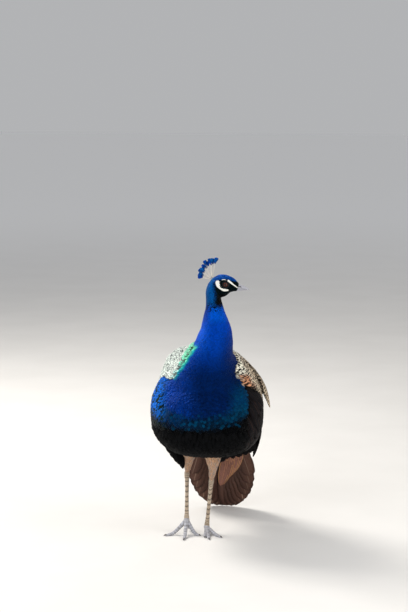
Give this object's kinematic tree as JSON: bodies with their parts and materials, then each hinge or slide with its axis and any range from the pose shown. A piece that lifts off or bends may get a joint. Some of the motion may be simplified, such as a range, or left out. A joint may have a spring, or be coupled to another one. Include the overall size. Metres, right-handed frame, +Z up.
{
  "type": "standing peacock",
  "caption": "Life-size still model of an adult male Indian peafowl, standing, head turned to its left, without its long train.",
  "frame": {"origin": "on the floor, under the middle of the bird's bounding box", "axes": "+Z up; -Y the way the breast faces; +X the bird's left, where its bill points"},
  "size_m": [0.3456, 0.5351, 0.8493],
  "materials": {
    "crown_feathers": "short scaly iridescent blue feathers, white bare skin at the eye",
    "neck_feathers": "iridescent cobalt feathers",
    "breast_feathers": "iridescent blue to green feathers, black below",
    "back_feathers": "scaly bronze and green feathers with pale centres",
    "pied_feathers": "buff feathers barred with black",
    "dark_feathers": "near-black flight feathers, faint gloss",
    "chestnut_feathers": "matt chestnut flight feathers",
    "tail_feathers": "matt grey-brown feathers with pale shafts",
    "covert_feathers": "bronze-green feathers",
    "thigh_feathers": "soft buff feathers",
    "leg_scales": "grey horny scutes with dark edges",
    "bill_horn": "pale horn, satin",
    "claw_horn": "dark grey horn, satin",
    "eye_cornea": "wet dark brown",
    "crest_feathers": "bare pale shafts with blue vanes"
  },
  "bodies": {
    "root": {"head": "crown_feathers", "bill_upper": "bill_horn", "bill_lower": "bill_horn", "eye_left": "eye_cornea", "eye_right": "eye_cornea", "crest": "crest_feathers", "neck_upper": "neck_feathers", "neck_lower": "neck_feathers", "trunk": "breast_feathers", "mantle": "back_feathers", "tail": "tail_feathers", "tail_coverts": "covert_feathers", "wing_left": "pied_feathers", "secondaries_left": "dark_feathers", "primaries_left": "chestnut_feathers", "scapulars_left": "pied_feathers", "thigh_left": "thigh_feathers", "shank_left": "leg_scales", "foot_left": "leg_scales", "spur_left": "claw_horn", "claw_outer_left": "claw_horn", "claw_middle_left": "claw_horn", "claw_inner_left": "claw_horn", "claw_hind_left": "claw_horn", "wing_right": "pied_feathers", "secondaries_right": "dark_feathers", "primaries_right": "chestnut_feathers", "scapulars_right": "pied_feathers", "thigh_right": "thigh_feathers", "shank_right": "leg_scales", "foot_right": "leg_scales", "spur_right": "claw_horn", "claw_outer_right": "claw_horn", "claw_middle_right": "claw_horn", "claw_inner_right": "claw_horn", "claw_hind_right": "claw_horn"}
  },
  "joints": []
}
